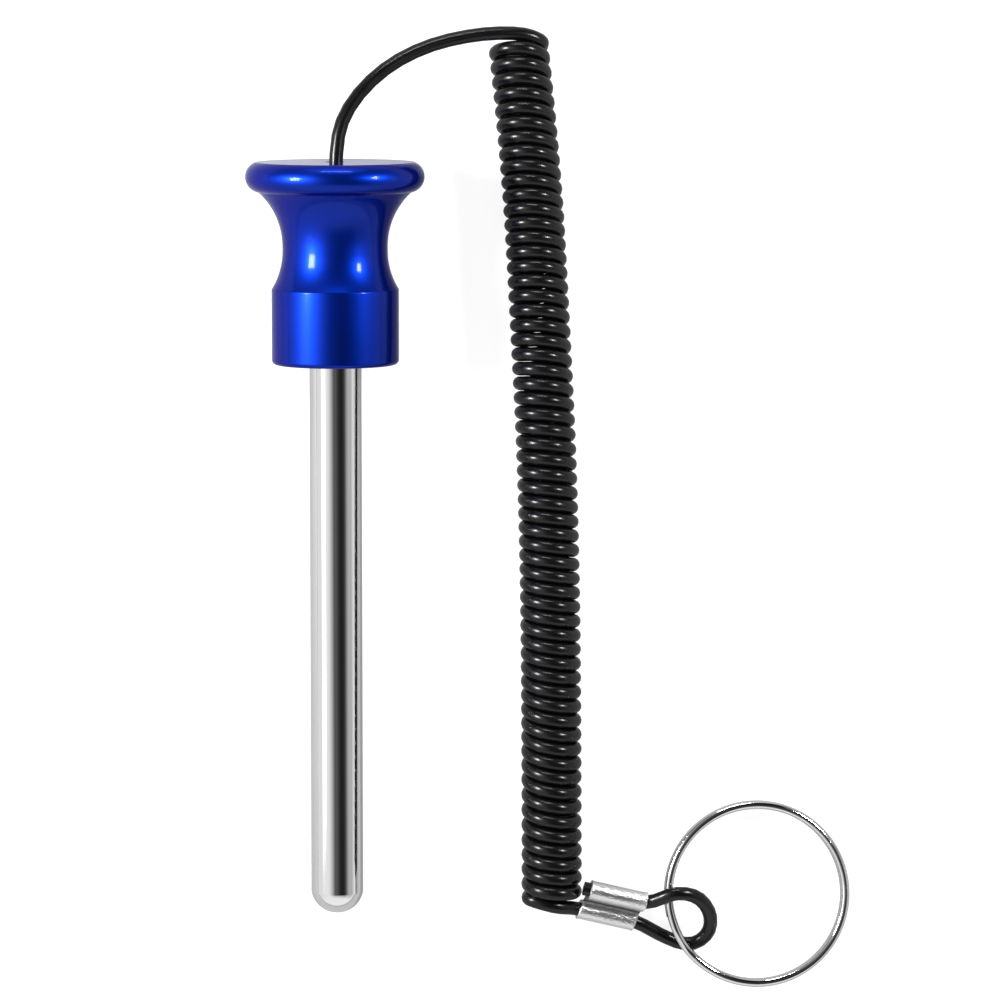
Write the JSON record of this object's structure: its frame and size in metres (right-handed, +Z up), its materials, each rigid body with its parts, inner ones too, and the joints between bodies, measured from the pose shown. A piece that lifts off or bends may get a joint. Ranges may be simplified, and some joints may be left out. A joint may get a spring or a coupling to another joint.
{
  "type": "weight stack pin",
  "caption": "Straight round pin with a waisted turned knob, a domed tip, and a coiled cord lanyard that ends in a crimped loop and a split ring.",
  "frame": {"origin": "the surface the pin lies on, below the middle of the box of its knob and shank", "axes": "+Y runs along the pin from its tip to its knob, +Z is up from the surface, and the cord lies on the +X side"},
  "size_m": [0.1162, 0.1852, 0.0341],
  "materials": {
    "anodised_knob": "bright blue anodised, fine turned",
    "plated_shank": "bright plated, polished",
    "crimp_metal": "satin, lightly scratched",
    "coated_cord": "glossy black coating over a wire core",
    "plated_ring": "bright nickel plated"
  },
  "bodies": {
    "pin": {"knob": "anodised_knob", "shank": "plated_shank", "cord_stop": "crimp_metal", "lead": "coated_cord", "coil": "coated_cord", "tail": "coated_cord", "crimp_sleeve": "crimp_metal"},
    "ring": {"split_ring": "plated_ring"}
  },
  "joints": [
    {"name": "ring_swing", "type": "hinge", "parent": "pin", "child": "ring", "pos_m": [0.0646, -0.07391, 0.0047], "axis": [0.2689, -0.9632, 0], "range_deg": [0, 155]}
  ]
}
